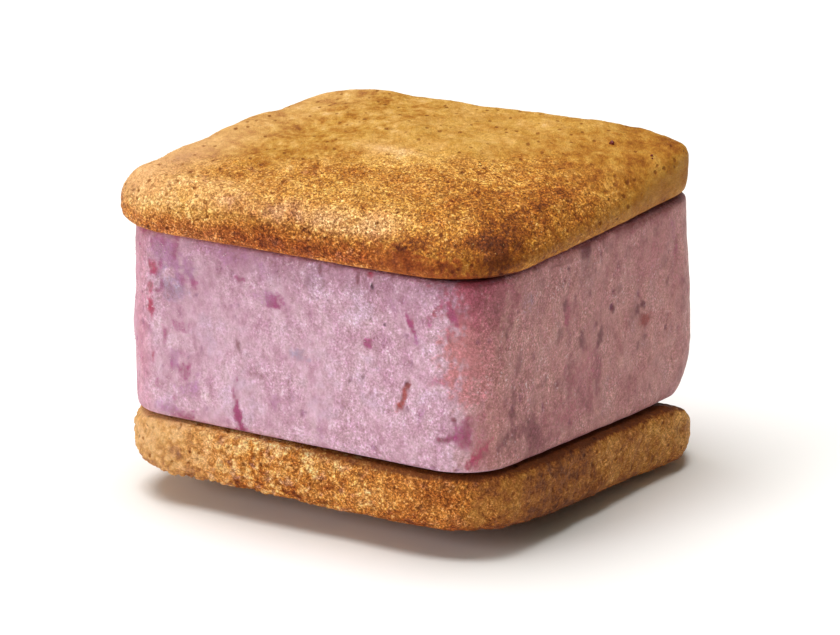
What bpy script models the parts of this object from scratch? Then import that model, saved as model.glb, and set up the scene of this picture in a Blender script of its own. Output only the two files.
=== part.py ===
"""Butter sandwich cookie: two rounded-square butter biscuits with a thick square block of
berry ice cream between them.

The lower biscuit lies dome side down and touches the table on a small flat spot. Its flat
side is the seat: it slopes a little towards the back, and the filling's underside follows
it. The upper biscuit lies level on the filling with its dome up. The layers are stacked by
hand, so each is a little off centre and turned. Metres, +Z up; the front of the cookie
faces -Y and the origin is on the table under its middle.
"""
import math

import bmesh
import bpy
from mathutils import Matrix, Vector, noise

MM = 0.001

# Driving dimensions
TOP_SIDE = 51.8 * MM
BOTTOM_SIDE = 50.8 * MM
FILLING_SIDE = 48.4 * MM
BISCUIT_CORNER = 9.8 * MM
FILLING_CORNER = 6.5 * MM
TOP_UNDERSIDE = 31.75 * MM
TOP_RIM = 5.6 * MM
TOP_DOME = 1.3 * MM
BOTTOM_RIM = 6.8 * MM
SEAT_HEIGHT = 8.6 * MM
SEAT_SLOPE = -0.047
GAP = 0.3 * MM

# Each layer's centre over the table, and its turn seen from above
TOP_PLACE = (-0.30 * MM, -0.05 * MM, 0.0)
FILLING_PLACE = (0.35 * MM, 0.30 * MM, math.radians(-2.2))
BOTTOM_PLACE = (0.55 * MM, 0.40 * MM, math.radians(-1.8))

BISCUIT_CELLS = 30
BISCUIT_LAYERS = 6
FILLING_CELLS = 30
FILLING_LAYERS = 13


def graded(half, count, crowding):
    """Cut positions from -half to half, closer together towards both ends."""
    cuts = []
    for index in range(1, count):
        t = 2.0 * index / count - 1.0
        cuts.append(math.copysign(half * (1.0 - (1.0 - abs(t)) ** crowding), t))
    return cuts


def smooth(value, low, high):
    """0 below low, 1 above high, and a soft step between."""
    t = min(max((value - low) / (high - low), 0.0), 1.0)
    return t * t * (3.0 - 2.0 * t)


def bump(value, centre, width):
    """A soft hump of height 1 round centre."""
    return math.exp(-((value - centre) / width) ** 2)


def roundover(inset, drop, width, depth):
    """Moves a point close to a sharp rim onto a quarter ellipse over that rim.

    inset and drop are the point's distances from the rim, in plan and in height.
    """
    if inset >= width or drop >= depth:
        return inset, drop
    turn = math.pi / 4 * (1.0 + inset / width - drop / depth)
    return width * (1.0 - math.cos(turn)), depth * (1.0 - math.sin(turn))


def plan_point(x, y, half, corner):
    """Carries a point of a square ring to the ring of a rounded square.

    Returns the new point and the outward direction there, both in plan.
    """
    ring = max(abs(x), abs(y), 1e-9)
    quarter = round(math.atan2(y, x) / (math.pi / 2)) % 4
    along = (y, -x, -y, x)[quarter] / ring
    straight = half - corner
    reach = abs(along) * (straight + corner * math.pi / 4)
    if reach <= straight:
        place, out = (half, reach), (1.0, 0.0)
    else:
        turn = (reach - straight) / corner
        out = (math.cos(turn), math.sin(turn))
        place = (straight + corner * out[0], straight + corner * out[1])
    side = math.copysign(1.0, along)
    place, out = (place[0], side * place[1]), (out[0], side * out[1])
    for _ in range(quarter):
        place, out = (-place[1], place[0]), (-out[1], out[0])
    return Vector((*place, 0.0)), Vector((*out, 0.0))


def even_edge(width, depth):
    """A rim's roundover that is the same all the way round."""
    return lambda x, y: (width, depth)


def rounded_block(side, height, corner, cells, layers, upper_edge, lower_edge):
    """A square block with rounded corners and rims, cut into a regular skin of quads.

    upper_edge and lower_edge give the width and depth of the rims' roundovers at a point of
    the plan. Returns the bmesh and, for each vertex, its level from 0 (underside) to 1
    (top), its inset from the outline and the outward direction in plan.
    """
    bm = bmesh.new()
    bmesh.ops.create_cube(bm, size=1.0)
    bmesh.ops.scale(bm, vec=(side, side, height), verts=bm.verts)
    cut_sets = (
        (Vector((1, 0, 0)), graded(side / 2, cells, 1.3)),
        (Vector((0, 1, 0)), graded(side / 2, cells, 1.3)),
        (Vector((0, 0, 1)), graded(height / 2, layers, 1.15)),
    )
    for axis, cuts in cut_sets:
        for cut in cuts:
            geometry = bm.verts[:] + bm.edges[:] + bm.faces[:]
            bmesh.ops.bisect_plane(bm, geom=geometry, dist=1e-7, plane_co=axis * cut, plane_no=axis)
    skin = {}
    for vert in bm.verts:
        x, y, z = vert.co
        edge = upper_edge if z >= 0 else lower_edge
        inset = side / 2 - max(abs(x), abs(y))
        inset, drop = roundover(inset, height / 2 - abs(z), *edge(x, y))
        if z < 0:
            drop = height - drop
        place, out = plan_point(x, y, side / 2 - inset, max(corner - inset, 1e-6))
        skin[vert] = (1.0 - drop / height, inset, out)
        vert.co = place
    return bm, skin


def drape(bm, skin, place, lower, upper):
    """Moves the block to its place, and sets each vertex between its two surfaces.

    lower and upper give those surfaces' heights from a point of the plan and its inset.
    """
    x, y, turn = place
    stack = Matrix.Translation((x, y, 0.0)) @ Matrix.Rotation(turn, 4, "Z")
    bmesh.ops.transform(bm, matrix=stack, verts=bm.verts)
    for vert in bm.verts:
        level, inset, _ = skin[vert]
        low = lower(vert.co, inset)
        high = upper(vert.co, inset)
        vert.co.z = low + (high - low) * level


def roughen(bm, skin, grain, depth, seed, weight):
    """Baked or frozen unevenness: pushes the skin in and out by a smooth noise.

    grain is the size of its lumps, and weight(vertex, level, inset) says where it acts.
    """
    bm.normal_update()
    moves = {}
    for vert in bm.verts:
        level, inset, _ = skin[vert]
        share = weight(vert, level, inset)
        if share > 0.0:
            lump = noise.noise(vert.co / grain + Vector((seed, 2.7 * seed, -seed)))
            moves[vert] = vert.normal * (depth * share * lump)
    for vert, move in moves.items():
        vert.co += move


def finish_object(name, bm, collection, material):
    """Merges the flat hidden faces into few, and makes the smooth-shaded object."""
    bmesh.ops.dissolve_limit(bm, angle_limit=math.radians(0.02), verts=bm.verts, edges=bm.edges)
    bmesh.ops.triangulate(bm, faces=bm.faces[:])
    bmesh.ops.recalc_face_normals(bm, faces=bm.faces)
    mesh = bpy.data.meshes.new(name)
    bm.to_mesh(mesh)
    bm.free()
    mesh.materials.append(material)
    mesh.shade_smooth()
    mesh.set_sharp_from_angle(angle=math.radians(50))
    obj = bpy.data.objects.new(name, mesh)
    collection.objects.link(obj)
    return obj


def food_material(name, colour, roughness):
    """A plain finish for one kind of food."""
    material = bpy.data.materials.new(name)
    material.use_nodes = True
    shader = material.node_tree.nodes["Principled BSDF"]
    shader.inputs["Base Color"].default_value = (*colour, 1.0)
    shader.inputs["Roughness"].default_value = roughness
    shader.inputs["Metallic"].default_value = 0.0
    return material


def wavy_outline(bm, skin, depth, seed):
    """Lets the outline wander, as dough does when it spreads in the oven."""
    for vert in bm.verts:
        _, inset, out = skin[vert]
        heading = math.atan2(vert.co.y, vert.co.x)
        place = Vector((math.cos(heading), math.sin(heading), seed)) * 2.2
        vert.co += out * (depth * noise.noise(place) * (1.0 - smooth(inset, 0.0, 12 * MM)))


def make_top_biscuit(collection, material):
    """The upper biscuit: flat side down, a low dome with a puffed front rim and a crease.

    Its top rolls over to the rim, widest on the right, and stays blunt at the back right
    corner.
    """
    rim_edge = Vector((3.8 * MM, 3.1 * MM))
    right_edge = Vector((8.0 * MM, 4.4 * MM))
    right_starts = (6.0 * MM, 22.0 * MM)
    right_ends = (2.0 * MM, 18.0 * MM)
    blunt_reach = 12.0 * MM
    blunt_share = 0.30
    puff = (2.0 * MM, -20.5 * MM, 15.0 * MM, 4.5 * MM, 0.45 * MM)
    crease = (-2.0 * MM, -8.0 * MM, 9.0 * MM, 1.5 * MM, -0.30 * MM)
    fold = (-17.0 * MM, -18.0 * MM, 1.8 * MM, 4.0 * MM, -0.30 * MM)
    back_swell = (7.5 * MM, 22.0 * MM, 6.0 * MM, 6.0 * MM, 0.38 * MM)
    back_knob = (-22.5 * MM, 23.0 * MM, 3.0 * MM, 3.0 * MM, 0.22 * MM)
    relief = (puff, crease, fold, back_swell, back_knob)
    relief_edge = 2.0 * MM
    corner_droop = (26.0 * MM, 8.0 * MM, 0.60 * MM)
    crust_starts, crust_full = 0.001, 0.35

    def upper_edge(x, y):
        right = smooth(x, *right_starts) * (1.0 - smooth(y, *right_ends))
        from_corner = math.hypot(x - TOP_SIDE / 2, y - TOP_SIDE / 2)
        kept = 1.0 - (1.0 - blunt_share) * bump(from_corner, 0.0, blunt_reach)
        return rim_edge.lerp(right_edge, right) * kept

    bm, skin = rounded_block(
        TOP_SIDE, TOP_RIM, BISCUIT_CORNER, BISCUIT_CELLS, BISCUIT_LAYERS,
        upper_edge, even_edge(1.5 * MM, 1.7 * MM))

    def underside(place, inset):
        return TOP_UNDERSIDE

    def crown(place, inset):
        swell = TOP_DOME * smooth(inset, 0.0, 0.9 * TOP_SIDE / 2)
        for x, y, width, depth, height in relief:
            lump = height * bump(place.x, x, width) * bump(place.y, y, depth)
            swell += lump * smooth(inset, 0.0, relief_edge)
        corner, reach, depth = corner_droop
        swell -= depth * bump(math.hypot(place.x - corner, place.y - corner), 0.0, reach)
        return TOP_UNDERSIDE + TOP_RIM + swell

    def crust(vert, level, inset):
        return smooth(level, 0.0, crust_full) if level > crust_starts else 0.0

    wavy_outline(bm, skin, 0.3 * MM, 3.0)
    drape(bm, skin, TOP_PLACE, underside, crown)
    roughen(bm, skin, 9.0 * MM, 0.35 * MM, 11.0, crust)
    roughen(bm, skin, 3.2 * MM, 0.28 * MM, 5.0, crust)
    return finish_object("top_biscuit", bm, collection, material)


def make_bottom_biscuit(collection, material):
    """The lower biscuit: flat side up as the filling's seat, and its dome on the table.

    The dome's middle is pressed into a flat square spot. The biscuit grows thicker towards
    the back right, where its upper corner is worn down and its lower one lifts.
    """
    upper_edge = even_edge(1.4 * MM, 1.3 * MM)
    lower_width, lower_depth = 2.5 * MM, 2.4 * MM
    wedge = (0.010, 0.011)
    spot_half = 8.5 * MM
    rim_least = 0.6 * MM
    worn_depth = 3.0 * MM
    worn_x = (4.0 * MM, 20.0 * MM)
    worn_y = (14.0 * MM, 26.0 * MM)
    right_lift = (26.0 * MM, 26.0 * MM, 6.0 * MM, 1.15 * MM)
    left_lift = (-24.0 * MM, -24.0 * MM, 6.0 * MM, 0.40 * MM)
    bm, skin = rounded_block(
        BOTTOM_SIDE, BOTTOM_RIM, BISCUIT_CORNER, BISCUIT_CELLS, BISCUIT_LAYERS,
        upper_edge, even_edge(lower_width, lower_depth))

    def worn_seat(place, inset):
        worn = smooth(place.y, *worn_y) * smooth(place.x, *worn_x)
        return SEAT_HEIGHT + SEAT_SLOPE * place.y - worn_depth * worn

    def belly(place, inset):
        thickness = BOTTOM_RIM + wedge[0] * place.x + wedge[1] * place.y
        rim = max(SEAT_HEIGHT + SEAT_SLOPE * place.y - thickness, rim_least)
        for x, y, width, height in (right_lift, left_lift):
            rim += height * bump(math.hypot(place.x - x, place.y - y), 0.0, width)
        reach = (BOTTOM_SIDE / 2 - inset - spot_half) / (BOTTOM_SIDE / 2 - lower_width - spot_half)
        return rim * (1.0 - (1.0 - min(max(reach, 0.0), 1.0)) ** 1.5)

    def crust(vert, level, inset):
        return smooth(1.0 - level, 0.0, 0.3) * smooth(vert.co.z, 0.1 * MM, 0.8 * MM)

    wavy_outline(bm, skin, 0.3 * MM, 7.0)
    drape(bm, skin, BOTTOM_PLACE, belly, worn_seat)
    roughen(bm, skin, 9.0 * MM, 0.30 * MM, 17.0, crust)
    roughen(bm, skin, 2.8 * MM, 0.34 * MM, 23.0, crust)
    return finish_object("bottom_biscuit", bm, collection, material)


def make_berry_filling(collection, material):
    """The block of berry ice cream: cut sides, soft corners, one lower corner melted back."""
    base = SEAT_HEIGHT + GAP
    height = TOP_UNDERSIDE - GAP - base
    upper_edge = even_edge(0.5 * MM, 0.6 * MM)
    lower_edge = even_edge(0.4 * MM, 0.5 * MM)
    belly_depth = 0.60 * MM
    belly_level, belly_spread = 0.36, 0.28
    melt_depth = 1.3 * MM
    melt_height = 3.8 * MM
    melt_reach = 8.0 * MM
    edge_reach = 6.0 * MM
    sag_corner, sag_reach, sag_depth = 24.0 * MM, 6.0 * MM, 0.40 * MM
    skin_level = 0.08
    bm, skin = rounded_block(
        FILLING_SIDE, height, FILLING_CORNER, FILLING_CELLS, FILLING_LAYERS,
        upper_edge, lower_edge)
    corner = Vector((1.0, 1.0, 0.0)) * (FILLING_SIDE / 2 - FILLING_CORNER * (1 - math.sqrt(0.5)))

    def underside(place, inset):
        sag = sag_depth * bump(math.hypot(place.x - sag_corner, place.y - sag_corner), 0.0, sag_reach)
        return base + SEAT_SLOPE * place.y - sag

    def top(place, inset):
        return TOP_UNDERSIDE - GAP

    for vert in bm.verts:
        level, inset, out = skin[vert]
        near_edge = 1.0 - smooth(inset, 0.0, edge_reach)
        near_corner = bump((vert.co - corner).length, 0.0, melt_reach)
        melted = max(1.0 - level * height / melt_height, 0.0) ** 1.4
        full = belly_depth * bump(level, belly_level, belly_spread)
        vert.co += out * ((full - melt_depth * melted) * near_edge * near_corner)
    drape(bm, skin, FILLING_PLACE, underside, top)

    def cut_side(vert, level, inset):
        return smooth(level, 0.0, skin_level) * smooth(1.0 - level, 0.0, skin_level)

    roughen(bm, skin, 8.0 * MM, 0.30 * MM, 31.0, cut_side)
    roughen(bm, skin, 2.6 * MM, 0.22 * MM, 41.0, cut_side)
    return finish_object("berry_filling", bm, collection, material)


for old in list(bpy.context.scene.objects):
    bpy.data.objects.remove(old, do_unlink=True)

cookie = bpy.data.collections.new("butter_sandwich_cookie")
bpy.context.scene.collection.children.link(cookie)
baked = food_material("baked_biscuit", (0.58, 0.30, 0.09), 0.75)
berry = food_material("berry_ice_cream", (0.60, 0.33, 0.47), 0.55)

make_top_biscuit(cookie, baked)
make_berry_filling(cookie, berry)
make_bottom_biscuit(cookie, baked)
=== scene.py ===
"""Looks of the butter sandwich cookie: berry ice cream between two butter biscuits.

The sections follow the cookie as it is put together: lower biscuit, block of ice cream,
upper biscuit, then the frost and the crumbs that cling to it, and last the table, the
lamps and the camera. Points and sizes of the cookie are in millimetres. Its meshes, the
lamps and the camera are in metres. x runs to the right, y to the back and z up.
"""
import math

import bmesh
import bpy
import numpy as np
from mathutils import Matrix, Vector, noise


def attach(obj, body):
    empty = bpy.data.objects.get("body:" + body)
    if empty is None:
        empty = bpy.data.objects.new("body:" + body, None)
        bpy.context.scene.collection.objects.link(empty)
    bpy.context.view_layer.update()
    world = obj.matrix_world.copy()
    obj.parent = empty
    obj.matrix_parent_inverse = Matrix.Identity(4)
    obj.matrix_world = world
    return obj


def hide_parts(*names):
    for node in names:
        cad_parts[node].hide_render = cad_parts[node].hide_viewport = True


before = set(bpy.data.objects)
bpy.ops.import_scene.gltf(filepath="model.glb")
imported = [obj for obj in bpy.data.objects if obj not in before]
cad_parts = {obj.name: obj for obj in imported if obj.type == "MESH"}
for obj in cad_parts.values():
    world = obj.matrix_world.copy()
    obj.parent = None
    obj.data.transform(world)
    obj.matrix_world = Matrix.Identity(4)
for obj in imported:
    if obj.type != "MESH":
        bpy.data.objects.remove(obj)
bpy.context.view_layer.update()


# --- Lower biscuit -------------------------------------------------------------------
# A butter biscuit, rolled, cut square with round corners and baked on a tray. It lies dome
# side down, so its flat side is the seat of the ice cream. Its crust is a fine sandy crumb,
# pale at the left end, toasted along the front and brown on the right. Light and shade are
# painted on it too: the front is lighter high up and darker low down, the faces that turn
# down and the seat ledge are partly painted shade, and the pits and the seam under the ice
# cream are painted dark.

MM = 0.001
ROLLED = math.radians(31.0)     # direction of rolling, which drew out the dough's grain
SEAT_HEIGHT = 8.6               # of the seat's middle
SEAT_SLOPE = -0.047             # the seat falls a little towards the back
SEAT_COVERED = 20.0             # half the width of the seat that the ice cream surely covers
NUGGET = 0.95                   # width of the crumbs that stand out of the crust


def fine_copy(node, name, cell, rounds, hidden):
    """A dense smooth mesh with the form of a CAD solid, to carve the fine surface into.

    Its faces are about one cell wide and are smoothed in so many rounds. The faces that lie
    against another layer, for which hidden(centre, normal) is true, become one.
    """
    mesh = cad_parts[node].data.copy()
    bm = bmesh.new()
    bm.from_mesh(mesh)
    bmesh.ops.remove_doubles(bm, verts=bm.verts, dist=1e-6)
    bm.to_mesh(mesh)
    bm.free()
    piece = bpy.data.objects.new(name, mesh)
    bpy.context.scene.collection.objects.link(piece)
    remesh = piece.modifiers.new("cells", "REMESH")
    remesh.mode = "VOXEL"
    remesh.voxel_size = cell * MM
    relax = piece.modifiers.new("relax", "SMOOTH")
    relax.factor = 0.5
    relax.iterations = rounds
    graph = bpy.context.evaluated_depsgraph_get()
    fine = bpy.data.meshes.new_from_object(piece.evaluated_get(graph))
    piece.modifiers.clear()
    piece.data = fine
    bm = bmesh.new()
    bm.from_mesh(fine)
    inner = [f for f in bm.faces if hidden(f.calc_center_median() / MM, f.normal)]
    bmesh.ops.dissolve_faces(bm, faces=inner, use_verts=True)
    bm.to_mesh(fine)
    bm.free()
    fine.materials.clear()
    fine.shade_smooth()
    return piece


def skin_of(piece):
    """Points in millimetres and outward directions of a mesh, as arrays."""
    count = len(piece.data.vertices)
    points = np.empty(count * 3)
    outward = np.empty(count * 3)
    piece.data.vertices.foreach_get("co", points)
    piece.data.vertices.foreach_get("normal", outward)
    return points.reshape(-1, 3) / MM, outward.reshape(-1, 3)


def push(piece, depth):
    """Moves each point of the skin out along its normal by depth, and returns the skin."""
    points, outward = skin_of(piece)
    moved = (points + outward * depth[:, None]) * MM
    piece.data.vertices.foreach_set("co", moved.ravel())
    piece.data.update()
    return skin_of(piece)


def lumps(points, size, seed, stretch=(1.0, 1.0, 1.0)):
    """Smooth noise from about -1 to 1 whose lumps measure size, times stretch along x, y, z."""
    scaled = points / (size * np.array(stretch)) + (seed * 3.1, seed * 1.7, -seed * 2.3)
    return np.array([noise.noise(Vector(p)) for p in scaled.tolist()]) * 1.6


def crumbs(points, size, seed):
    """Rounded crumbs of about size, packed side by side: 1 on their tops, 0 in the seams."""
    scaled = points / size + (seed * 1.3, seed * 0.7, seed * 2.1)
    seams = np.array([noise.voronoi(Vector(p))[0][:2] for p in scaled.tolist()])
    return soft(seams[:, 1] - seams[:, 0], 0.0, 0.55)


def soft(value, low, high):
    """0 below low, 1 above high, and a soft step between."""
    t = np.clip((value - low) / (high - low), 0.0, 1.0)
    return t * t * (3.0 - 2.0 * t)


def hump(value, centre, width):
    """A soft hump of height 1 round centre."""
    return np.exp(-((value - centre) / width) ** 2)


def spots(points, places):
    """The sum of soft spots, each (x, y, half width along x, along y, amount)."""
    total = np.zeros(len(points))
    for x, y, wide, deep, amount in places:
        total += amount * hump(points[:, 0], x, wide) * hump(points[:, 1], y, deep)
    return total


def paint(piece, name, amount):
    """Stores a mask on the skin under a name that the material reads."""
    layer = piece.data.attributes.new(name, "FLOAT", "POINT")
    layer.data.foreach_set("value", np.clip(amount, 0.0, 1.0).astype(np.float32))


class Value:
    """A socket of the finish in hand. Sums, products and powers of values add Math nodes."""

    def __init__(self, finish, socket):
        self.finish = finish
        self.socket = socket

    def math(self, operation, first, second):
        return self.finish.node("ShaderNodeMath", {"operation": operation}, {0: first, 1: second})

    def __add__(self, other):
        return self.math("ADD", self, other)

    def __radd__(self, other):
        return self.math("ADD", other, self)

    def __sub__(self, other):
        return self.math("SUBTRACT", self, other)

    def __rsub__(self, other):
        return self.math("SUBTRACT", other, self)

    def __mul__(self, other):
        return self.math("MULTIPLY", self, other)

    def __rmul__(self, other):
        return self.math("MULTIPLY", other, self)

    def __rpow__(self, other):
        return self.math("POWER", other, self)


class Finish:
    """A material being made, with its shader and the place of the shaded point in mm."""

    def __init__(self, name):
        self.material = bpy.data.materials.new(name)
        self.material.use_nodes = True
        self.tree = self.material.node_tree
        self.shader = self.tree.nodes["Principled BSDF"]
        place = self.node("ShaderNodeTexCoord", output="Object")
        scale = {0: place, "Scale": 1.0 / MM}
        self.place = self.node("ShaderNodeVectorMath", {"operation": "SCALE"}, scale)

    def node(self, kind, settings=None, inputs=None, output=0):
        """Adds a node: its settings first, then its sockets' values or links."""
        made = self.tree.nodes.new(kind)
        for name, setting in (settings or {}).items():
            if name == "stops":
                self.set_stops(made.color_ramp, setting)
            else:
                setattr(made, name, setting)
        for name, given in (inputs or {}).items():
            self.feed(made.inputs[name], given)
        return Value(self, made.outputs[output])

    def set_stops(self, ramp, stops):
        while len(ramp.elements) < len(stops):
            ramp.elements.new(0.5)
        for element, (position, colour) in zip(ramp.elements, stops):
            element.position = position
            element.color = (*colour, 1.0)

    def feed(self, socket, given):
        if isinstance(given, Value):
            self.tree.links.new(given.socket, socket)
        elif isinstance(given, tuple) and socket.type == "RGBA":
            socket.default_value = (*given, 1.0)
        else:
            socket.default_value = given

    def mask(self, name):
        """A mask painted on the skin."""
        return self.node("ShaderNodeAttribute", {"attribute_name": name}, output="Fac")

    def stretched(self, size, shift, stretch=(1, 1, 1), turn=0.0):
        """The place, counted in lumps of size, with stretch along axes turned about z."""
        inputs = {
            "Vector": self.place,
            "Scale": tuple(size * s for s in stretch),
            "Rotation": (0.0, 0.0, turn),
            "Location": tuple(size * s for s in shift),
        }
        return self.node("ShaderNodeMapping", {"vector_type": "TEXTURE"}, inputs)

    def grain(self, size, detail=2.0, rough=0.5, shift=(0, 0, 0), **shape):
        """Noise from 0 to 1 with lumps of size."""
        place = self.stretched(size, shift, **shape)
        inputs = {"Vector": place, "Scale": 1.0, "Detail": detail, "Roughness": rough}
        return self.node("ShaderNodeTexNoise", None, inputs)

    def cells(self, size, shift, **shape):
        """Packed grains of size: a tone of each grain's own, and its height, from 0 to 1."""
        inputs = {"Vector": self.stretched(size, shift, **shape), "Scale": 1.0}
        tone = self.node("ShaderNodeTexVoronoi", {"feature": "F1"}, inputs, "Color")
        reach = Value(self, tone.socket.node.outputs["Distance"])
        return self.node("ShaderNodeSeparateColor", None, {0: tone}), 1.0 - reach

    def step(self, value, low, high):
        """0 below low, 1 above high, and a soft step between."""
        inputs = {"Value": value, "From Min": low, "From Max": high}
        return self.node("ShaderNodeMapRange", {"interpolation_type": "SMOOTHSTEP"}, inputs)

    def mix(self, amount, first, second, blend="MIX"):
        """From the first colour to the second by amount."""
        settings = {"data_type": "RGBA", "blend_type": blend, "clamp_result": True}
        return self.node("ShaderNodeMix", settings, {0: amount, 6: first, 7: second}, 2)

    def tinted(self, colour, tint):
        """A colour times a tint, which is a tuple or another colour."""
        return self.mix(1.0, colour, tint, "MULTIPLY")

    def shaded(self, colour, shade, gain=2.5):
        """A colour made lighter and paler where shade is above 0, darker and deeper below."""
        parts = {0: gain ** (shade * 0.85), 1: gain ** shade, 2: gain ** (shade * 1.2)}
        return self.tinted(colour, self.node("ShaderNodeCombineColor", None, parts))

    def bump(self, height, depth, strength):
        """A surface direction that follows a fine height, where 1 rises by depth."""
        inputs = {"Height": height, "Distance": depth * MM, "Strength": strength}
        return self.node("ShaderNodeBump", None, inputs, "Normal")

    def set(self, **sockets):
        """Sets or links the shader's own sockets; a name's underscores stand for spaces."""
        for name, given in sockets.items():
            self.feed(self.shader.inputs[name.replace("_", " ")], given)


def baked_finish(name):
    """Baked butter dough, golden or orange, from pale to brown, with a sandy grain."""
    finish = Finish(name)
    # The tone mask holds the crust's toasting together with painted light and shade.
    toast = finish.mask("toast")
    orange = finish.mask("orange")
    mottle = finish.mask("mottle")
    grit = finish.mask("grit")
    drawn = {"stretch": (1.0, 1.8, 1.0), "turn": ROLLED}
    patches = finish.grain(2.6, detail=2.0, rough=0.6, **drawn)
    blotch = finish.grain(0.9, detail=3.0, rough=0.65, shift=(7, 3, 1), **drawn)
    clumps = finish.grain(0.45, detail=2.0, rough=0.7, shift=(3, 8, 6), **drawn)
    fine = finish.grain(0.24, detail=4.0, rough=0.85, shift=(5, 5, 2), **drawn)
    sand, domes = finish.cells(0.17, shift=(2, 9, 4), **drawn)
    tone = toast + (patches - 0.5) * (0.3 + 0.9 * mottle) + (blotch - 0.5) * (0.3 + 1.0 * mottle)
    golden_crust = finish.node("ShaderNodeValToRGB", {"stops": (
        (0.0, (0.80, 0.51, 0.205)),
        (0.2, (0.69, 0.393, 0.103)),
        (0.4, (0.563, 0.290, 0.054)),
        (0.6, (0.438, 0.183, 0.021)),
        (0.8, (0.295, 0.094, 0.007)),
        (1.0, (0.134, 0.031, 0.003)),
    )}, {"Fac": tone})
    orange_crust = finish.node("ShaderNodeValToRGB", {"stops": (
        (0.0, (0.875, 0.447, 0.161)),
        (0.2, (0.705, 0.286, 0.071)),
        (0.4, (0.536, 0.179, 0.032)),
        (0.6, (0.402, 0.112, 0.018)),
        (0.8, (0.277, 0.058, 0.009)),
        (1.0, (0.125, 0.022, 0.004)),
    )}, {"Fac": tone})
    crust = finish.mix(orange, golden_crust, orange_crust)
    hue = finish.step(finish.grain(1.7, detail=2.0, shift=(1, 4, 9), **drawn), 0.38, 0.62)
    crust = finish.tinted(crust, finish.mix(hue, (1.0, 1.01, 0.93), (1.01, 0.975, 1.06)))
    mauve = finish.grain(1.3, detail=2.0, rough=0.6, shift=(8, 1, 5), **drawn)
    mauve = finish.step(mauve, 0.54, 0.68) * mottle * mottle * orange
    crust = finish.mix(mauve * 0.5, crust, (0.48, 0.26, 0.19))
    # Pale crust and painted highlights, such as the highlight along the upper biscuit's front
    # shoulder.
    crust = finish.mix(finish.mask("blush") * 0.6, crust, (0.83, 0.48, 0.25))
    shade = (clumps - 0.5) * (0.5 + 1.6 * grit) + (fine - 0.5) * (0.4 + 6.6 * grit)
    crust = finish.shaded(crust, shade + (sand - 0.5) * (0.05 + 1.3 * grit))
    glints = finish.step(sand, 0.84, 0.90) * finish.step(clumps, 0.48, 0.58) * grit
    glints = glints * (1.0 - finish.step(tone, 0.55, 0.8))
    crust = finish.mix(glints * 0.35, crust, (0.90, 0.63, 0.29))
    # Painted shade: dark brown in pits and seams.
    crust = finish.mix(finish.mask("pit") * 0.8, crust, (0.143, 0.040, 0.009))
    freckle, nearness = finish.cells(1.15, shift=(6, 2, 5), stretch=(1.0, 2.2, 1.0), turn=ROLLED)
    freckle = finish.step(freckle, 0.35, 0.40) * finish.step(nearness + blotch * 0.2, 0.86, 0.98)
    crust = finish.tinted(crust, finish.mix(freckle, (1.0, 1.0, 1.0), (0.55, 0.42, 0.30)))
    height = domes * 0.5 + fine * 0.8 + clumps * 1.2 + blotch * 0.8 - freckle * 0.8
    finish.set(
        Base_Color=crust,
        Roughness=0.6 - glints * 0.3,
        Specular_IOR_Level=0.15,
        Normal=finish.bump(height, 0.12, 0.8))
    return finish.material


def against_filling_below(centre, normal):
    return normal.z > 0.99 and max(abs(centre.x), abs(centre.y)) < SEAT_COVERED


bottom_biscuit = fine_copy(
    "bottom_biscuit", "lower_biscuit", cell=0.235, rounds=34, hidden=against_filling_below)
points, outward = skin_of(bottom_biscuit)
below_seat = SEAT_HEIGHT + SEAT_SLOPE * points[:, 1] - points[:, 2]
near_edge = soft(np.abs(points[:, :2]).max(axis=1), 22.5, 24.5)
loose = np.maximum(soft(below_seat, 0.05, 0.8), 0.7 * near_edge) * soft(points[:, 2], 0.03, 0.5)
to_left = soft(-points[:, 0], -16.0, 14.0)
nuggets = crumbs(points, NUGGET, 4) - 0.6
depth = 0.09 * lumps(points, 2.6, 3) + (0.05 + 0.20 * to_left) * nuggets
depth += 0.06 * lumps(points, 0.95, 5) + 0.035 * lumps(points, 0.5, 8)
pits = soft(lumps(points, 0.75, 9), 0.55, 0.95) * soft(lumps(points, 3.0, 10), -0.3, 0.5)
points, outward = push(bottom_biscuit, loose * (depth - 0.16 * pits))
right_side = soft(outward[:, 0], 0.3, 0.8)
left_end = soft(-points[:, 0], 6.0, 20.0)
under = soft(-outward[:, 2], 0.15, 0.7)
nugget_tone = 0.6 - crumbs(points, NUGGET, 4)
# The crust is browner where it turns down, and there it is partly painted shade.
toast = 0.27 + 0.28 * soft(points[:, 0], 0.0, 20.0) - 0.12 * left_end + 0.22 * under
# Painted light and shade: the front is lighter high up and darker low down.
toast -= 0.14 * (soft(points[:, 2], 5.0, 8.2) - 0.35) * soft(-points[:, 0], -12.0, 4.0)
toast += to_left * (0.34 * lumps(points, 1.5, 12) + 0.24 * lumps(points, 0.7, 13))
toast -= 0.03 + 0.05 * left_end
toast += (0.16 + 0.30 * to_left) * nugget_tone + spots(points, (
    (26.0, 20.0, 6.0, 9.0, -0.08),
    (26.0, -11.0, 4.0, 9.0, 0.33),
    (20.0, -23.5, 4.0, 4.0, 0.04),
    (-13.0, -24.0, 1.6, 3.0, 0.10),
    (-20.5, -24.0, 1.2, 3.0, 0.08),
    (-9.0, -24.0, 1.4, 3.0, -0.06),
    (-10.0, -24.0, 8.0, 4.0, -0.05),
    (6.0, -24.0, 7.0, 4.0, -0.04),
))
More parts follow.
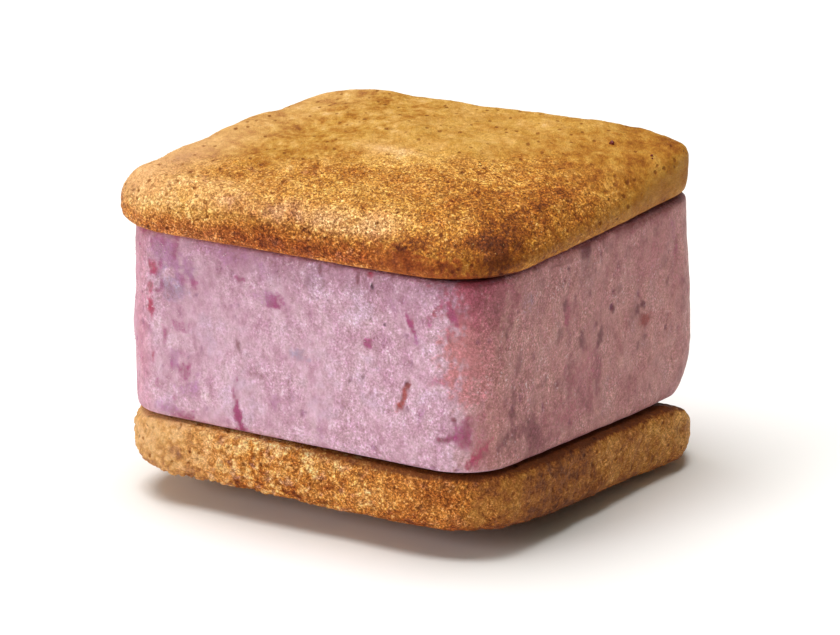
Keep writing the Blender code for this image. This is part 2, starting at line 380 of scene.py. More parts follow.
# The seat ledge is darker towards the back right, partly toasted crust and partly painted shadow of
# the ice cream, and lighter at the left end.
upward = soft(outward[:, 2], 0.6, 0.95)
toast += 0.10 * upward + 0.20 * upward * soft(points[:, 0] + points[:, 1], 8.0, 30.0)
toast -= 0.26 * upward * soft(-points[:, 0], -6.0, 6.0)
paint(bottom_biscuit, "toast", toast)
paint(bottom_biscuit, "orange", 0.8 - 0.5 * left_end - 0.4 * right_side)
paint(bottom_biscuit, "mottle", 0.45 + 0.55 * soft(-points[:, 0], -14.0, -2.0) + 0.1 * right_side)
# Painted shade: the seam where the seat ledge meets the ice cream is dark, and so are the pits.
seam = soft(outward[:, 2], 0.45, 0.85) * soft(points[:, 0], -8.0, 10.0) * (1.0 - right_side)
paint(bottom_biscuit, "pit", np.maximum(pits, seam))
paint(bottom_biscuit, "blush", 0.5 * left_end * (1.0 - right_side) + 0.1 * right_side)
paint(bottom_biscuit, "grit", 1.25 - 0.8 * right_side - 0.55 * left_end - 0.6 * to_left)
baked = baked_finish("baked_butter_dough")
bottom_biscuit.data.materials.append(baked)
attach(bottom_biscuit, "root")
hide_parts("bottom_biscuit")


# --- Block of berry ice cream --------------------------------------------------------
# Ice cream churned with crushed berries, frozen in a tray and cut into a square block, so
# its sides show the cut: a fine icy grain, drag lines, small voids, and berry skins in
# magenta, crimson and plum. The side on the right is painted darker and warmer as shade.
# One corner has begun to melt. Shade is also painted in the voids, under the upper biscuit
# and, mixed with berry colour, round the front corner.

PIGMENTS = {
    "magenta": (0.330, 0.045, 0.150),
    "crimson": (0.411, 0.045, 0.098),
    "plum": (0.179, 0.038, 0.049),
    "rust": (0.321, 0.049, 0.040),
    "violet": (0.411, 0.179, 0.321),
    "slate": (0.375, 0.277, 0.384),
    "rosewood": (0.393, 0.089, 0.129),
    "coral": (0.545, 0.205, 0.215),
    "ink": (0.063, 0.013, 0.031),
    "mauve": (0.35, 0.115, 0.125),
    "cream": (0.768, 0.554, 0.625),
}

# Berry marks on the front: place along it, height, half width, half height, lean, strength
# and pigment
FRONT_MARKS = (
    (-2.7, 25.9, 0.75, 0.7, 0.2, 1.0, "magenta"),
    (-4.0, 26.2, 1.5, 0.7, 0.1, 0.45, "violet"),
    (15.0, 26.0, 0.28, 1.25, -0.45, 1.0, "magenta"),
    (15.6, 24.6, 0.5, 0.5, 0.0, 0.6, "violet"),
    (9.3, 23.4, 0.55, 0.6, 0.0, 0.8, "magenta"),
    (14.5, 19.5, 0.3, 0.4, 0.0, 1.0, "ink"),
    (14.2, 18.2, 0.38, 1.3, 0.3, 0.9, "rust"),
    (13.6, 17.0, 0.55, 0.4, 0.3, 0.8, "rust"),
    (19.8, 28.0, 0.3, 0.9, -0.2, 0.8, "magenta"),
    (19.6, 30.5, 0.6, 0.5, 0.2, 0.6, "crimson"),
    (19.5, 25.5, 0.2, 0.4, 0.0, 0.8, "magenta"),
    (18.6, 20.4, 0.9, 0.35, 0.5, 0.5, "magenta"),
    (18.8, 13.9, 0.7, 0.25, 0.2, 0.8, "plum"),
    (20.1, 16.2, 0.25, 0.35, 0.0, 0.8, "plum"),
    (22.1, 12.2, 0.35, 1.2, 0.5, 0.8, "crimson"),
    (-7.9, 20.2, 0.3, 0.55, -0.3, 0.8, "plum"),
    (0.5, 20.4, 1.1, 0.6, 0.0, 0.7, "slate"),
    (-15.0, 15.9, 0.7, 1.1, 0.1, 0.75, "magenta"),
    (-15.2, 13.6, 0.9, 0.8, 0.0, 0.5, "violet"),
    (-7.8, 12.3, 0.45, 2.2, -0.1, 1.0, "magenta"),
    (-7.4, 10.0, 1.2, 0.5, 0.0, 0.9, "magenta"),
    (10.0, 29.8, 0.18, 0.3, 0.0, 1.0, "ink"),
    (9.7, 31.0, 0.4, 0.35, 0.0, 0.9, "crimson"),
    (8.1, 30.4, 0.25, 1.0, 0.1, 0.7, "plum"),
    (11.6, 25.7, 0.15, 0.15, 0.0, 1.0, "ink"),
    (-19.5, 22.6, 0.42, 0.95, 0.0, 1.0, "crimson"),
    (-19.4, 16.8, 0.25, 0.45, 0.0, 0.8, "crimson"),
    (-19.0, 26.7, 0.5, 0.4, 0.0, 0.5, "magenta"),
    (-15.8, 25.1, 1.2, 0.9, 0.0, 0.65, "slate"),
    (-13.6, 26.2, 0.45, 0.7, 0.0, 0.7, "magenta"),
    (-7.3, 27.8, 0.5, 0.28, -0.4, 0.75, "magenta"),
    (-5.9, 27.3, 0.4, 0.2, -0.2, 0.6, "magenta"),
    (-18.3, 29.4, 1.3, 1.6, 0.1, 0.7, "violet"),
    (-16.2, 28.4, 0.9, 1.5, -0.2, 0.8, "violet"),
    (-14.3, 27.5, 0.8, 0.9, 0.0, 0.8, "violet"),
    (-19.3, 27.2, 0.5, 0.7, 0.3, 0.9, "crimson"),
    (-19.6, 25.0, 0.4, 0.5, 0.0, 0.8, "crimson"),
    (-18.6, 24.6, 0.5, 0.3, 0.3, 0.7, "magenta"),
    (-17.4, 25.6, 0.7, 1.3, 0.0, 0.5, "slate"),
    # This wide violet band along the top is partly berry colour and partly painted shade under the
    # upper biscuit.
    (-9.0, 30.4, 3.0, 0.9, 0.1, 0.5, "violet"),
    (-4.5, 29.2, 0.5, 1.0, 0.1, 0.5, "violet"),
    (-17.4, 11.0, 1.6, 0.7, 0.0, 0.6, "violet"),
    (-14.6, 10.6, 0.9, 0.5, 0.0, 0.7, "magenta"),
    (-13.6, 14.6, 0.6, 1.0, 0.1, 0.6, "violet"),
    (-16.4, 16.9, 0.6, 1.3, 0.2, 0.6, "violet"),
    (-12.3, 13.4, 0.5, 0.6, 0.0, 0.9, "cream"),
    (-2.9, 14.4, 0.5, 0.9, 0.1, 0.5, "violet"),
    (3.0, 12.2, 0.6, 1.1, 0.0, 0.5, "violet"),
    (6.0, 15.5, 0.5, 0.8, 0.0, 0.5, "violet"),
    (16.5, 16.5, 0.4, 1.1, 0.2, 0.5, "violet"),
    (12.6, 28.0, 0.6, 0.9, 0.0, 0.5, "violet"),
    (17.3, 26.9, 0.4, 0.6, 0.0, 0.6, "magenta"),
    (1.5, 28.8, 0.4, 0.9, 0.1, 0.5, "plum"),
    (3.2, 30.6, 0.3, 0.5, 0.0, 0.7, "plum"),
)

# The same on the right side, where the place counts from front to back
RIGHT_MARKS = (
    (9.4, 21.5, 0.45, 0.50, 0.0, 0.9, "plum"),
    (8.2, 20.9, 0.40, 0.50, 0.3, 0.8, "plum"),
    (9.9, 19.5, 0.80, 0.55, 0.3, 0.9, "rust"),
    (14.3, 22.7, 0.50, 0.55, 0.0, 0.7, "plum"),
    (3.1, 22.4, 0.35, 0.35, 0.0, 0.7, "plum"),
    (0.1, 20.0, 0.60, 0.85, 0.2, 0.95, "plum"),
    (-3.8, 20.6, 0.50, 0.70, 0.0, 0.9, "plum"),
    (-2.0, 21.0, 2.40, 1.00, 0.0, 0.35, "mauve"),
    (-0.4, 16.3, 0.80, 1.40, 0.0, 0.95, "mauve"),
    (-6.0, 17.2, 0.80, 1.10, 0.0, 0.9, "mauve"),
    (8.3, 16.8, 0.40, 0.45, 0.0, 0.6, "plum"),
    (4.5, 17.5, 0.50, 0.50, 0.0, 0.5, "mauve"),
    (6.0, 25.0, 0.50, 0.60, 0.0, 0.5, "mauve"),
    (2.0, 27.0, 0.70, 0.80, 0.0, 0.4, "mauve"),
    (-3.6, 15.6, 3.40, 2.20, 0.0, 0.42, "rosewood"),
    (-8.0, 12.6, 5.00, 1.60, -0.2, 0.45, "rosewood"),
    (-2.5, 18.4, 1.60, 1.00, 0.0, 0.25, "rosewood"),
    # These mauve marks along the top are partly berry colour and partly painted shade under the
    # upper biscuit.
    (0.8, 30.9, 0.80, 0.60, 0.0, 0.9, "mauve"),
    (7.0, 30.9, 1.40, 0.60, 0.0, 0.8, "mauve"),
    (13.0, 30.9, 1.60, 0.50, 0.0, 0.7, "mauve"),
    (-8.0, 30.4, 1.60, 0.60, 0.0, 0.7, "mauve"),
    (-13.4, 12.4, 1.60, 2.00, -0.3, 0.80, "mauve"),
    (-13.8, 13.0, 0.90, 1.50, -0.2, 0.6, "plum"),
    (-10.4, 11.3, 1.60, 0.60, 0.0, 0.5, "mauve"),
    (-17.8, 14.9, 0.40, 1.10, -0.4, 0.9, "mauve"),
    (-14.8, 28.0, 1.00, 1.00, 0.0, 0.4, "slate"),
    (-14.6, 19.8, 1.20, 0.80, 0.0, 0.5, "mauve"),
    (-6.8, 24.0, 0.60, 1.90, 0.1, 0.8, "rosewood"),
    (-7.2, 25.6, 0.40, 0.60, 0.0, 0.8, "plum"),
    (-8.4, 22.6, 0.50, 0.80, 0.0, 0.6, "plum"),
    (-2.8, 24.2, 3.20, 1.80, 0.0, 0.25, "rosewood"),
    (11.0, 27.0, 4.00, 2.60, 0.0, 0.35, "rosewood"),
    (16.6, 24.0, 1.30, 1.80, 0.0, 0.40, "rosewood"),
    (16.0, 28.5, 0.70, 1.30, 0.0, 0.3, "magenta"),
    (-1.8, 12.6, 0.50, 1.40, -0.2, 0.6, "mauve"),
    (6.7, 13.2, 0.70, 0.50, 0.0, 0.4, "mauve"),
    (-16.8, 21.0, 0.45, 1.40, 0.2, 0.6, "mauve"),
    (-17.6, 17.0, 0.40, 1.20, 0.0, 0.6, "plum"),
)

# The same round the front corner, where the place counts along the curve from the front
CORNER_MARKS = (
    # Coral, rosewood and mauve here are partly berry colour and partly painted shade where the
    # corner turns away from the light.
    (4.9, 24.6, 2.6, 3.8, 0.1, 1.00, "coral"),
    (4.4, 20.0, 1.7, 2.6, 0.0, 0.55, "coral"),
    (5.6, 30.0, 3.0, 2.8, 0.0, 1.00, "rosewood"),
    (8.2, 27.6, 0.9, 2.4, 0.0, 0.60, "mauve"),
    (2.4, 27.8, 0.35, 1.3, -0.2, 0.60, "magenta"),
    (3.7, 14.9, 1.2, 1.2, 0.3, 0.65, "magenta"),
    (2.2, 14.2, 0.5, 0.3, 0.5, 0.55, "magenta"),
    (6.0, 12.3, 0.5, 1.1, 0.5, 0.60, "crimson"),
    (5.6, 14.0, 1.4, 2.4, 0.2, 0.30, "rosewood"),
    (9.6, 12.8, 0.7, 1.3, -0.2, 0.60, "plum"),
)
CORNER_ROUND = 6.5              # radius of the block's upright corners
FACE_COVERED = 22.0             # half the width of its faces that the biscuits surely cover


def blend(colour, amount, pigment, mark):
    """Lays a pigment over a colour and its amount, as strongly as mark says."""
    kept = amount * (1.0 - mark)
    total = np.maximum(mark + kept, 1e-6)
    berry = np.array(PIGMENTS[pigment])
    colour[:] = (colour * kept[:, None] + berry * mark[:, None]) / total[:, None]
    amount[:] = np.clip(mark + kept, 0.0, 1.0)


def stain(points, along, share, marks, colour, amount):
    """Blends ragged berry marks into a colour and its amount, where share is high."""
    rag = 0.5 * lumps(points, 0.5, 71) + 0.45 * lumps(points, 1.3, 73)
    for place, height, wide, tall, lean, strength, pigment in marks:
        up = points[:, 2] - height
        across = along - place - lean * up
        reach = np.hypot(across / wide, up / tall) + rag
        blend(colour, amount, pigment, strength * share * (1.0 - soft(reach, 0.2, 2.1)))


def against_biscuits(centre, normal):
    return abs(normal.z) > 0.99 and max(abs(centre.x), abs(centre.y)) < FACE_COVERED


filling = fine_copy(
    "berry_filling", "berry_ice_cream", cell=0.24, rounds=22, hidden=against_biscuits)
points, outward = skin_of(filling)
side_on = 1.0 - soft(np.abs(outward[:, 2]), 0.5, 0.95)
depth = 0.05 * lumps(points, 3.5, 31, (1, 1, 2.2)) + 0.035 * lumps(points, 1.3, 33, (1, 1, 1.8))
depth += 0.022 * lumps(points, 0.5, 35, (1, 1, 1.3))
voids = soft(lumps(points, 0.8, 36, (1, 1, 1.4)), 0.72, 1.05)
voids *= soft(lumps(points, 4.0, 37), -0.2, 0.5)
points, outward = push(filling, side_on * (depth - 0.15 * voids))
front = soft(-outward[:, 1], 0.45, 0.75)
right = soft(outward[:, 0], 0.45, 0.75)
colour = np.tile(np.array(PIGMENTS["violet"]), (len(points), 1))
amount = np.zeros(len(points))
stain(points, points[:, 0], front, FRONT_MARKS, colour, amount)
stain(points, points[:, 1], right, RIGHT_MARKS, colour, amount)
turned = np.arctan2(outward[:, 0], -outward[:, 1])
corner = soft(points[:, 0] - points[:, 1], 38.0, 41.0)
stain(points, turned * CORNER_ROUND, corner, CORNER_MARKS, colour, amount)
flecks = soft(lumps(points, 0.9, 75, (1, 1, 1.5)), 0.6, 1.1) * (0.25 + 0.20 * right)
clots = 0.24 * soft(lumps(points, 1.9, 76), 0.2, 0.9)
clots += 0.26 * soft(lumps(points, 3.6, 78), 0.1, 0.8)
flecks += right * clots * (1.0 + 0.6 * soft(points[:, 2], 26.0, 29.5))
left_half = front * (0.12 + 0.88 * soft(-points[:, 0], 9.0, 19.0))
juice = left_half * 0.7 * soft(lumps(points, 1.0, 74, (1, 1, 1.7)), 0.1, 1.0)
juice *= 0.4 + 0.6 * soft(lumps(points, 3.0, 72), -0.4, 0.4)
blend(colour, amount, "plum", flecks)
blend(colour, amount, "magenta", juice)
stains = filling.data.color_attributes.new("stain", "FLOAT_COLOR", "POINT")
stains.data.foreach_set("color", np.column_stack((colour, amount)).astype(np.float32).ravel())
paint(filling, "void", voids)
# Painted shade: the right side is darker and warmer.
paint(filling, "dull", soft(outward[:, 0], 0.3, 0.95))
paint(filling, "rosy", soft(-points[:, 0], 18.5, 21.5))
# Painted shade under the upper biscuit, weaker at the left end and on the right side.
pressed = soft(points[:, 2], 26.0, 31.0) * (1.0 - 0.6 * soft(-points[:, 0], 12.0, 18.0))
paint(filling, "pressed", pressed * (1.0 - 0.7 * right))
icy = 0.35 + 0.5 * soft(points[:, 0], -4.0, 10.0) * (1.0 - right) + 0.5 * lumps(points, 4.0, 79)
icy += 0.45 * right * (1.0 - soft(points[:, 1], -15.0, -3.0)) - 0.1 * corner * (1.0 - right)
paint(filling, "icy", np.maximum(icy, 0.0))

ice = Finish("berry_ice_cream")
tint = ice.node("ShaderNodeAttribute", {"attribute_name": "stain"}, output="Color")
tinted = ice.node("ShaderNodeAttribute", {"attribute_name": "stain"}, output="Alpha")
icy = ice.mask("icy")
dull = ice.mask("dull")
clouds = ice.grain(5.0, detail=3.0, rough=0.7)
swirl = ice.grain(1.5, detail=3.0, rough=0.7, shift=(4, 1, 8), stretch=(1, 1, 1.4))
streak = ice.grain(0.7, detail=2.0, rough=0.7, shift=(1, 6, 3), stretch=(1, 1, 1.6))
speck = ice.grain(0.28, detail=2.0, rough=0.8, shift=(9, 2, 6))
frost, domes = ice.cells(0.2, shift=(3, 3, 3))
tone = 0.5 + (clouds - 0.5) * 1.0 + (swirl - 0.5) * 1.4
cream = ice.node("ShaderNodeValToRGB", {"stops": (
    (0.00, (0.357, 0.134, 0.241)),
    (0.25, (0.527, 0.277, 0.380)),
    (0.50, (0.616, 0.371, 0.473)),
    (0.75, (0.688, 0.451, 0.549)),
    (1.00, (0.822, 0.589, 0.679)),
)}, {"Fac": tone})
cream = ice.mix(ice.step(clouds, 0.52, 0.68) * 0.5, cream, (0.571, 0.384, 0.518))
# Painted shade on the right side, darker and warmer.
cream = ice.tinted(cream, ice.mix(dull, (1.0, 1.0, 1.0), (0.86, 0.62, 0.47)))
cream = ice.tinted(cream, ice.mix(ice.mask("rosy"), (1.0, 1.0, 1.0), (1.45, 0.77, 0.80)))
# Painted shade under the upper biscuit.
cream = ice.tinted(cream, ice.mix(ice.mask("pressed"), (1.0, 1.0, 1.0), (0.80, 0.70, 0.76)))
loose_grain = (streak - 0.5) * 1.0 + (speck - 0.5) * 0.8
ragged = tinted + loose_grain * ice.step(tinted, 0.02, 0.35)
cream = ice.mix(ice.step(ragged, 0.08, 1.0), cream, tint)
# Painted shade: dark in the voids.
cream = ice.mix(ice.mask("void") * 0.5, cream, (0.232, 0.071, 0.152))
shade = (streak - 0.5) * (0.7 + 0.6 * icy - 0.5 * dull)
shade = shade + (speck - 0.5) * (0.35 + 1.8 * icy + 1.2 * dull)
cream = ice.shaded(cream, shade + (frost - 0.5) * (0.06 + 0.30 * icy))
glints = ice.step(frost, 0.86, 0.93) * ice.step(streak, 0.48, 0.62) * icy * (1.0 - tinted)
cream = ice.mix(glints * 0.6, cream, (0.90, 0.79, 0.84))
height = domes * 0.3 + speck * 0.6 + streak * 0.6 + swirl * 0.8
ice.set(
    Base_Color=cream,
    Roughness=0.5 - glints * 0.25,
    Subsurface_Weight=0.15,
    Subsurface_Radius=(1.0, 0.5, 0.6),
    Subsurface_Scale=0.6 * MM,
    Specular_IOR_Level=0.4,
    Normal=ice.bump(height, 0.12, 0.7))
filling.data.materials.append(ice.material)
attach(filling, "root")
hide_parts("berry_filling")


# --- Upper biscuit -------------------------------------------------------------------
# The same dough and bake, laid flat side down on the ice cream. Its dome puffed up along
# the front rim and sank behind it. The plateau is smooth and golden, the front is sandy
# and browner, and the rim is toasted orange brown, with a darker patch at one corner. The
# lower rim is partly painted shade, its foot, underside and right side are painted lighter,
# the pits are painted dark, and a highlight is painted along the front shoulder and at the
# left end.

UNDERSIDE = 31.75               # height of the flat side
UNDERSIDE_COVERED = 21.0        # half the width of it that the ice cream surely covers


def against_filling_above(centre, normal):
    return normal.z < -0.99 and max(abs(centre.x), abs(centre.y)) < UNDERSIDE_COVERED


top_biscuit = fine_copy(
    "top_biscuit", "upper_biscuit", cell=0.225, rounds=40, hidden=against_filling_above)
points, outward = skin_of(top_biscuit)
loose = soft(points[:, 2] - UNDERSIDE, 0.03, 0.6)
far_right = soft(points[:, 0], 15.0, 24.0) * soft(points[:, 1], -4.0, 8.0)
sandy = soft(0.55 * points[:, 0] - points[:, 1] + 2.5 * lumps(points, 6.0, 51), 0.0, 12.0)
sandy *= 1.0 - 0.8 * far_right
back_left = soft(points[:, 1] - points[:, 0], 10.0, 24.0)
depth = 0.07 * (1.0 - 0.7 * back_left) * lumps(points, 2.8, 53)
depth += (0.03 + 0.03 * sandy) * lumps(points, 1.1, 55)
depth += (0.018 + 0.022 * sandy) * lumps(points, 0.45, 58)
crumbled = crumbs(points, 0.75, 59) - 0.6
depth += 0.06 * (0.3 + 0.7 * sandy) * crumbled
pits = soft(lumps(points, 0.6, 61), 0.62, 0.98) * soft(lumps(points, 3.2, 62), 0.0, 0.7)
fold = hump(np.hypot(points[:, 0] + 11.5, points[:, 1] + 18.6), 3.05, 0.45)
fold *= soft(-points[:, 0], 10.8, 12.3)
points, outward = push(top_biscuit, loose * (depth - 0.10 * pits - 0.10 * fold))
height = points[:, 2] - UNDERSIDE
steep = soft(1.0 - outward[:, 2], 0.10, 0.75)
high_front = soft(points[:, 0], 7.0, 16.0)
rim = (1.0 - soft(height, 1.3 + 2.2 * high_front, 5.5 + 1.1 * high_front)) * steep
left_end = soft(-points[:, 0], 13.0, 23.0)
right_side = soft(outward[:, 0], 0.3, 0.8)
# The lower rim is darker, partly toasted crust and partly painted shade where it curves down; it is
# darker in the fold, and on the right side painted light makes it lighter.
toast = 0.37 + 0.14 * fold + 0.34 * rim * (1.0 - 0.35 * left_end) * (1.0 - right_side)
toast += 0.10 * hump(-points[:, 1], 12.5, 4.5) + 0.24 * soft(points[:, 0], 5.0, 22.0)
right_edge = soft(points[:, 0], 19.0, 22.0) * soft(-points[:, 1], -8.0, 2.0)
toast += 0.10 * right_edge * hump(height, 5.2, 0.8)
toast -= 0.08 * right_side + 0.12 * sandy * crumbled
dark_corner = spots(points, ((23.2, -20.6, 2.3, 2.3, 0.46),))
toast += dark_corner * soft(-height, -5.4, -4.0)
# Painted light: the foot of the rim next to the ice cream is lighter.
toast -= 0.10 * hump(height, 0.3, 0.5) * (1.0 - right_side)
toast += spots(points, (
    (-1.0, -11.5, 7.5, 1.8, 0.12),
    (-15.5, -12.5, 5.0, 3.0, 0.06),
    (-13.5, -18.0, 1.3, 2.5, 0.12),
    (-20.0, -23.0, 5.0, 4.0, -0.10),
    (-0.5, -3.0, 3.5, 1.6, -0.38),
    (-16.0, 4.0, 7.0, 10.0, 0.14),
    (4.0, -22.0, 9.0, 2.0, 0.06),
    (20.0, 17.0, 2.5, 3.5, 0.10),
    (24.0, 11.5, 2.2, 3.0, 0.09),
    (23.4, -16.8, 1.8, 2.8, 0.14),
    (2.0, 8.0, 9.0, 8.0, -0.03),
    (-9.0, -12.0, 5.0, 5.0, 0.04),
    (15.0, -22.6, 2.5, 1.2, -0.15),
    (-15.2, -22.4, 2.0, 1.2, -0.16),
    (-11.2, -24.5, 2.0, 0.9, -0.16),
    (-1.3, -23.6, 2.0, 0.9, -0.12),
))
# On the front rim, the height over the flat side takes the place of y
front_rim = spots(np.column_stack((points[:, 0], height)), (
    (-3.0, 3.2, 3.2, 1.6, 0.10),
    (-0.5, 4.8, 4.0, 1.1, 0.28),
    (-8.5, 4.6, 3.0, 0.8, 0.10),
    (9.8, 3.8, 3.4, 0.7, 0.18),
    (16.4, 3.7, 2.8, 0.9, 0.30),
    (8.5, 0.3, 4.5, 0.4, -0.18),
    (-21.0, 1.8, 3.5, 1.6, -0.14),
    (2.0, 1.2, 4.0, 1.0, 0.12),
    (8.7, 0.4, 2.2, 0.6, -0.14),
    (-10.5, 3.3, 1.6, 1.2, -0.14),
    (9.5, 2.2, 2.0, 1.6, -0.10),
    (12.5, 2.2, 1.8, 1.8, -0.16),
    (17.4, 2.2, 2.8, 1.8, -0.28),
    (-16.5, 3.6, 4.5, 1.6, -0.26),
))
toast += front_rim * soft(-outward[:, 1], 0.1, 0.5)
# Painted light: the front rim's underside, which faces down, is lighter.
underneath = soft(-outward[:, 2], 0.1, 0.6) * soft(-outward[:, 1], 0.0, 0.4)
paint(top_biscuit, "toast", toast - 0.1 * underneath)
paint(top_biscuit, "orange", np.maximum(rim * (1.0 - 0.8 * right_side), 0.35 * sandy))
# Painted shade: dark in the pits.
paint(top_biscuit, "pit", pits * (0.5 + 0.5 * sandy))
# Painted highlight along the front shoulder and at the left end; the spots add a pale smear on the
# plateau and more highlight at the front left.
shoulder = hump(height, 4.8, 1.0) * soft(-outward[:, 1], 0.05, 0.3)
shoulder *= soft(points[:, 0], -14.0, -9.0) * (1.0 - soft(points[:, 0], 10.0, 15.0))
shoulder *= 0.3 + 0.7 * soft(lumps(points, 2.0, 64) + 0.06 * points[:, 0], -0.6, 0.6)
to_front = soft(-points[:, 1], -6.0, 15.0)
blush = 0.95 * left_end * (1.0 - rim) * (0.35 + 0.65 * to_front) + 0.7 * shoulder
blush += spots(points, ((-0.5, -3.0, 3.5, 1.6, 0.5), (-12.0, -22.5, 4.5, 2.5, 0.4)))
paint(top_biscuit, "blush", blush)
calm = (0.3 * soft(-points[:, 0], 0.0, 8.0) + 0.35 * left_end) * (1.0 - rim)
calm += 0.6 * rim * soft(points[:, 0], 9.0, 14.0)
paint(top_biscuit, "grit", (0.12 + 0.88 * sandy) * (1.0 - calm))
paint(top_biscuit, "mottle", 0.45 + 0.55 * soft(-points[:, 0], 0.0, 8.0) * (1.0 - rim) - 0.3 * calm)
top_biscuit.data.materials.append(baked)
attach(top_biscuit, "root")
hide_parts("top_biscuit")


# --- Frost, sugar and crumbs ---------------------------------------------------------
# Ice crystals stand out of the cut ice cream, grains of sugar glint in the sandy crust, and
# dried berry crumbs are baked into the top in two spots near its right end.

def crystals(name, piece, share, count, sizes, seed):
    """Tiny eight-faced grains on a piece's skin, turned at random and partly sunk in it.

    share says how likely each point of the skin is to carry one, and sizes their range.
    """
    draw = np.random.default_rng(seed)
    points, outward = skin_of(piece)
    chosen = draw.choice(len(points), size=count, replace=False, p=share / share.sum())
    corners = np.array((
        (1.0, 0.0, 0.0), (-1.0, 0.0, 0.0), (0.0, 1.0, 0.0),
        (0.0, -1.0, 0.0), (0.0, 0.0, 1.0), (0.0, 0.0, -1.0)))
    sides = np.array((
        (0, 2, 4), (2, 1, 4), (1, 3, 4), (3, 0, 4),
        (2, 0, 5), (1, 2, 5), (3, 1, 5), (0, 3, 5)))
    places, faces = [], []
    for number, point in enumerate(chosen):
        angle = draw.uniform(0, 2 * math.pi)
        axis = Vector(draw.normal(size=3)).normalized()
        turn = np.array(Matrix.Rotation(angle, 3, axis))
        reach = draw.uniform(*sizes) / 2
        stretched = corners * (reach * draw.uniform(0.7, 1.3, 3))
        places.append(stretched @ turn.T + points[point] + outward[point] * 0.3 * reach)
        faces.append(sides + len(corners) * number)
    mesh = bpy.data.meshes.new(name)
    mesh.from_pydata((np.vstack(places) * MM).tolist(), [], np.vstack(faces).tolist())
    grains = bpy.data.objects.new(name, mesh)
    bpy.context.scene.collection.objects.link(grains)
    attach(grains, "root")
    return grains


points, outward = skin_of(filling)
side_on = 1.0 - soft(np.abs(outward[:, 2]), 0.4, 0.8)
on_right = soft(outward[:, 0], 0.35, 0.7)
crowded = side_on * (0.1 + soft(lumps(points, 2.5, 81), 0.1, 0.7)) * (1.0 - 0.99 * on_right)
crowded *= 1.0 - soft(points[:, 0] - points[:, 1], 35.0, 40.0)
frost_grains = crystals(
    "frost_crystals", filling, crowded, count=1200, sizes=(0.08, 0.22), seed=82)
rime = Finish("frost_crystals")
rime.set(
    Base_Color=rime.mix(rime.grain(0.6), (0.85, 0.64, 0.71), (0.71, 0.46, 0.57)),
    Roughness=0.35,
    Specular_IOR_Level=0.4)
frost_grains.data.materials.append(rime.material)

points, outward = skin_of(top_biscuit)
front_shoulder = soft(-points[:, 1], 2.0, 16.0) * soft(outward[:, 2], 0.3, 0.7) + 0.02
front_shoulder *= 1.0 - 0.8 * soft(points[:, 0], 10.0, 18.0)
sugar_grains = crystals(
    "sugar_grains", top_biscuit, front_shoulder, count=1800, sizes=(0.07, 0.15), seed=85)
sugar = Finish("sugar_grains")
sugar.set(
    Base_Color=sugar.mix(sugar.grain(0.5), (0.85, 0.55, 0.215), (0.55, 0.27, 0.062)),
    Roughness=0.4,
    Specular_IOR_Level=0.3)
sugar_grains.data.materials.append(sugar.material)

on_top = soft(outward[:, 2], 0.5, 0.8)
landed = on_top * spots(points, ((17.6, 15.0, 0.25, 0.25, 1.0), (23.5, 13.8, 0.25, 0.25, 1.0)))
berry_crumbs = crystals(
    "berry_crumbs", top_biscuit, landed, count=8, sizes=(0.25, 0.5), seed=88)
skin_red = Finish("berry_crumbs")
skin_red.set(Base_Color=(0.16, 0.012, 0.010), Roughness=0.5, Specular_IOR_Level=0.3)
berry_crumbs.data.materials.append(skin_red.material)


# --- Table, lamps and camera ---------------------------------------------------------
# A plain white table top in a soft studio light: a large soft box overhead, a weaker one
# at the left and in front, and little light from the right.

TABLE_HALF_WIDTH = 4.0
COOKIE_MIDDLE = Vector((0.0, 0.0, 0.02))
ROOM_COLOUR = (1.0, 0.95, 0.72, 1.0)
ROOM_STRENGTH = 0.168

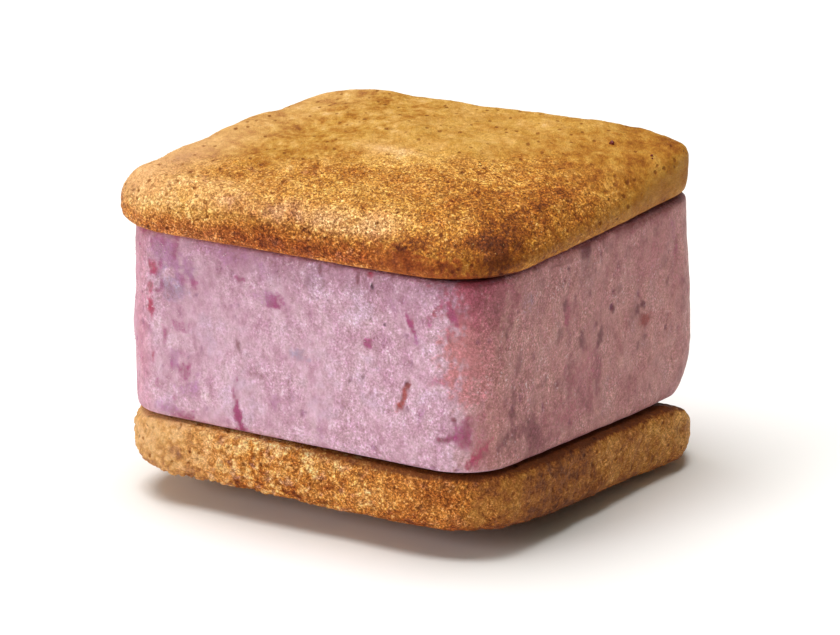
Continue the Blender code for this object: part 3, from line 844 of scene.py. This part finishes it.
table_mesh = bpy.data.meshes.new("table")
bm = bmesh.new()
bmesh.ops.create_grid(bm, x_segments=1, y_segments=1, size=TABLE_HALF_WIDTH)
bm.to_mesh(table_mesh)
bm.free()
table = bpy.data.objects.new("table", table_mesh)
bpy.context.scene.collection.objects.link(table)
white = Finish("white_table")
white.set(Base_Color=(0.98, 0.98, 0.975), Roughness=0.9, Specular_IOR_Level=0.1)
table_mesh.materials.append(white.material)


def soft_box(name, place, size, power, colour):
    """A square area lamp at place, aimed at the middle of the cookie."""
    lamp = bpy.data.lights.new(name, "AREA")
    lamp.shape = "SQUARE"
    lamp.size = size
    lamp.energy = power
    lamp.color = colour
    holder = bpy.data.objects.new(name, lamp)
    holder.location = place
    aim = COOKIE_MIDDLE - Vector(place)
    holder.rotation_euler = aim.to_track_quat("-Z", "Y").to_euler()
    bpy.context.scene.collection.objects.link(holder)


soft_box("top_box", place=(-0.14, -0.03, 0.9), size=0.75, power=10.0, colour=(1.0, 0.99, 0.98))
soft_box("left_box", place=(-0.35, -0.85, 0.35), size=0.4, power=2.9, colour=(1.0, 0.98, 1.0))

world = bpy.data.worlds.new("studio")
world.use_nodes = True
background = world.node_tree.nodes["Background"]
background.inputs["Color"].default_value = ROOM_COLOUR
background.inputs["Strength"].default_value = ROOM_STRENGTH
bpy.context.scene.world = world
bpy.context.scene.view_settings.view_transform = "Standard"

PHOTO_WIDTH = 840.0             # in pixels
FOCAL_PIXELS = 5311.0           # the lens's focal length, in the same pixels
SENSOR = 36.0                   # its width in millimetres
round_angle = math.radians(31.0)
height_angle = math.radians(17.0)
aim_point = Vector((1.0, 0.70, 18.3)) * MM
distance = 0.6
camera = bpy.data.cameras.new("camera")
camera.sensor_width = SENSOR
camera.lens = FOCAL_PIXELS * SENSOR / PHOTO_WIDTH
camera.clip_start = 0.05
camera.clip_end = 20.0
viewer = bpy.data.objects.new("camera", camera)
away = Vector((
    math.sin(round_angle) * math.cos(height_angle),
    -math.cos(round_angle) * math.cos(height_angle),
    math.sin(height_angle)))
viewer.location = aim_point + away * distance
viewer.rotation_euler = away.to_track_quat("Z", "Y").to_euler()
bpy.context.scene.collection.objects.link(viewer)
bpy.context.scene.camera = viewer
